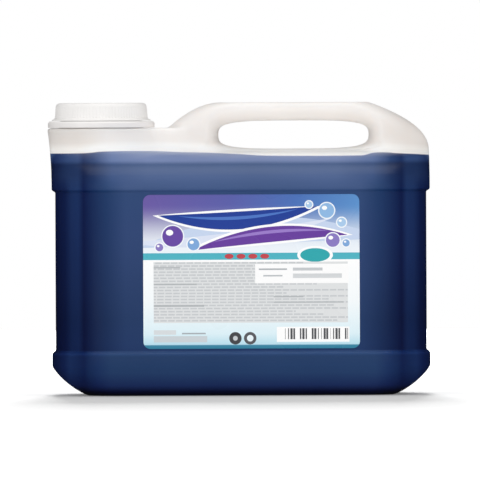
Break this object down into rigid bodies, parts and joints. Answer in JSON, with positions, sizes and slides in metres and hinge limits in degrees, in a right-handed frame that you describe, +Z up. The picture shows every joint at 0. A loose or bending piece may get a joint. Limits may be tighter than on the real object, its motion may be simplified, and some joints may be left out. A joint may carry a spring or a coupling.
{
  "type": "disinfectant jug",
  "caption": "Wide blow-moulded jug of blue disinfectant with a long grip handle through its top, a front label and a screw cap on a short neck.",
  "frame": {"origin": "middle of the overall box, on the plane that the jug stands on", "axes": "+X from the neck towards the far end of the handle, -Y towards the label, +Z up"},
  "size_m": [0.2592, 0.144, 0.1982],
  "materials": {
    "natural_hdpe": "blow-moulded natural HDPE, satin and milky",
    "blue_liquid": "dark blue clear liquid",
    "label_film": "printed film, gloss",
    "ring_plastic": "injection-moulded white polyethylene",
    "cap_plastic": "injection-moulded white polypropylene",
    "liner_foam": "polyethylene foam sheet"
  },
  "bodies": {
    "jug": {"jug_body": "natural_hdpe", "liquid": "blue_liquid", "front_label": "label_film", "tamper_ring": "ring_plastic"},
    "seal": {"cap_liner": "liner_foam"},
    "cap": {"screw_cap": "cap_plastic"}
  },
  "joints": [
    {"name": "cap_lift", "type": "slide", "parent": "jug", "child": "seal", "axis": [0, 0, 1], "range_m": [0, 0.0101]},
    {"name": "cap_turn", "type": "hinge", "parent": "seal", "child": "cap", "pos_m": [-0.0945, 0, 0.19], "axis": [0, 0, 1], "range_deg": [0, 720]}
  ],
  "couplings": [
    {"joint": "cap_lift", "follows": "cap_turn", "m_per_rad": 0.00079577}
  ]
}
